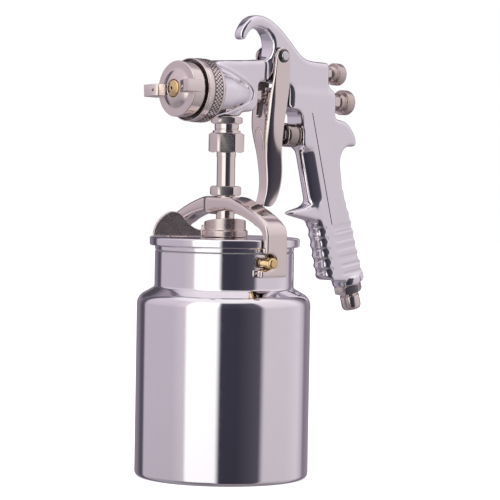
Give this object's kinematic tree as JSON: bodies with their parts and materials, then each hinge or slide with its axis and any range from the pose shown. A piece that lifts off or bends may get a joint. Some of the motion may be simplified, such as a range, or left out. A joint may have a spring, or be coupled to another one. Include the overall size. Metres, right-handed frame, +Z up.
{
  "type": "hvlp spray gun",
  "caption": "Siphon feed spray gun with a hooked cast body, sheet trigger, horned air cap and control knobs, on a metal cup held by a yoke and cam lever.",
  "frame": {"origin": "centre of the cup's flat base, where it stands", "axes": "+Z up along the siphon tube, +X the spray direction, +Y the gun's left side"},
  "size_m": [0.1693, 0.1064, 0.2822],
  "materials": {
    "gun_metal": "bright chromed casting",
    "cup_metal": "drawn sheet, mirror polished",
    "nickel": "nickel plated, satin bright",
    "dark_nickel": "nickel plated, darker",
    "brass": "bare turned brass",
    "steel": "bright stainless steel",
    "seal_white": "white fluoropolymer",
    "seal_black": "black rubber"
  },
  "bodies": {
    "gun_and_cup": {"cup": "cup_metal", "cup_studs": "brass", "cup_lid": "cup_metal", "lid_gasket": "seal_black", "siphon_tube": "nickel", "stem_collar": "nickel", "tube_lock_nut": "nickel", "fluid_inlet_fitting": "nickel", "inlet_locknut": "nickel", "gun_body": "gun_metal", "fluid_tip": "brass", "baffle": "nickel", "needle_packing": "seal_white", "packing_nut": "nickel", "needle_spring": "steel", "fluid_bushing": "nickel", "fan_valve_body": "nickel", "fan_valve_seal": "seal_black", "trigger_pin": "steel", "trigger_clip": "steel", "air_valve_body": "nickel", "air_valve_packing": "seal_white", "air_valve_gland": "nickel", "air_valve_seat": "seal_white", "air_valve_spring": "steel", "air_inlet_nipple": "nickel"},
    "yoke": {"yoke": "nickel"},
    "cam_lever": {"cam_lever": "dark_nickel"},
    "coupling_nut": {"coupling_nut": "nickel"},
    "air_cap": {"air_cap": "nickel", "cap_snap_ring": "steel"},
    "retaining_ring": {"retaining_ring": "nickel"},
    "fluid_needle": {"fluid_needle": "steel"},
    "fluid_knob": {"fluid_knob": "dark_nickel"},
    "fan_knob": {"fan_knob": "dark_nickel", "fan_valve_stem": "steel"},
    "trigger": {"trigger": "nickel"},
    "air_valve_stem": {"air_valve_stem": "steel"}
  },
  "joints": [
    {"name": "trigger_pull", "type": "hinge", "parent": "gun_and_cup", "child": "trigger", "pos_m": [-0.03735, 0, 0.25765], "axis": [0, 1, 0], "range_deg": [0, 12], "stiffness_Nm_per_rad": 1, "springref_deg": -14.32},
    {"name": "needle_slide", "type": "slide", "parent": "gun_and_cup", "child": "fluid_needle", "axis": [-0.9994, 0, -0.0349], "range_m": [0, 0.0042], "deforming": ["needle_spring"]},
    {"name": "air_valve_slide", "type": "slide", "parent": "gun_and_cup", "child": "air_valve_stem", "axis": [-0.9994, 0, -0.0349], "range_m": [0, 0.0102], "deforming": ["air_valve_spring"]},
    {"name": "fluid_knob_turn", "type": "hinge", "parent": "gun_and_cup", "child": "fluid_knob", "pos_m": [-0.09994, 0, 0.23045], "axis": [0.9994, 0, 0.0349], "continuous": true},
    {"name": "fan_knob_turn", "type": "hinge", "parent": "gun_and_cup", "child": "fan_knob", "pos_m": [-0.09555, 0, 0.24801], "axis": [0.9994, 0, 0.0349], "continuous": true},
    {"name": "air_cap_turn", "type": "hinge", "parent": "gun_and_cup", "child": "air_cap", "pos_m": [0.03998, 0, 0.23533], "axis": [0.9994, 0, 0.0349], "continuous": true},
    {"name": "retaining_ring_turn", "type": "hinge", "parent": "gun_and_cup", "child": "retaining_ring", "pos_m": [0.02398, 0, 0.23477], "axis": [0.9994, 0, 0.0349], "continuous": true},
    {"name": "coupling_nut_turn", "type": "hinge", "parent": "gun_and_cup", "child": "coupling_nut", "pos_m": [0, 0, 0.2035], "axis": [0, 0, 1], "continuous": true},
    {"name": "cam_lever_turn", "type": "hinge", "parent": "gun_and_cup", "child": "cam_lever", "pos_m": [0, 0, 0.15], "axis": [0, 0, 1], "range_deg": [0, 80]},
    {"name": "yoke_drop", "type": "slide", "parent": "gun_and_cup", "child": "yoke", "axis": [0, 0, -1], "range_m": [0, 0.001]}
  ],
  "couplings": [
    {"joint": "needle_slide", "follows": "trigger_pull", "m_per_rad": 0.020053},
    {"joint": "air_valve_slide", "follows": "trigger_pull", "m_per_rad": 0.048701},
    {"joint": "cam_lever_turn", "follows": "yoke_drop", "rad_per_m": 1396.2}
  ]
}
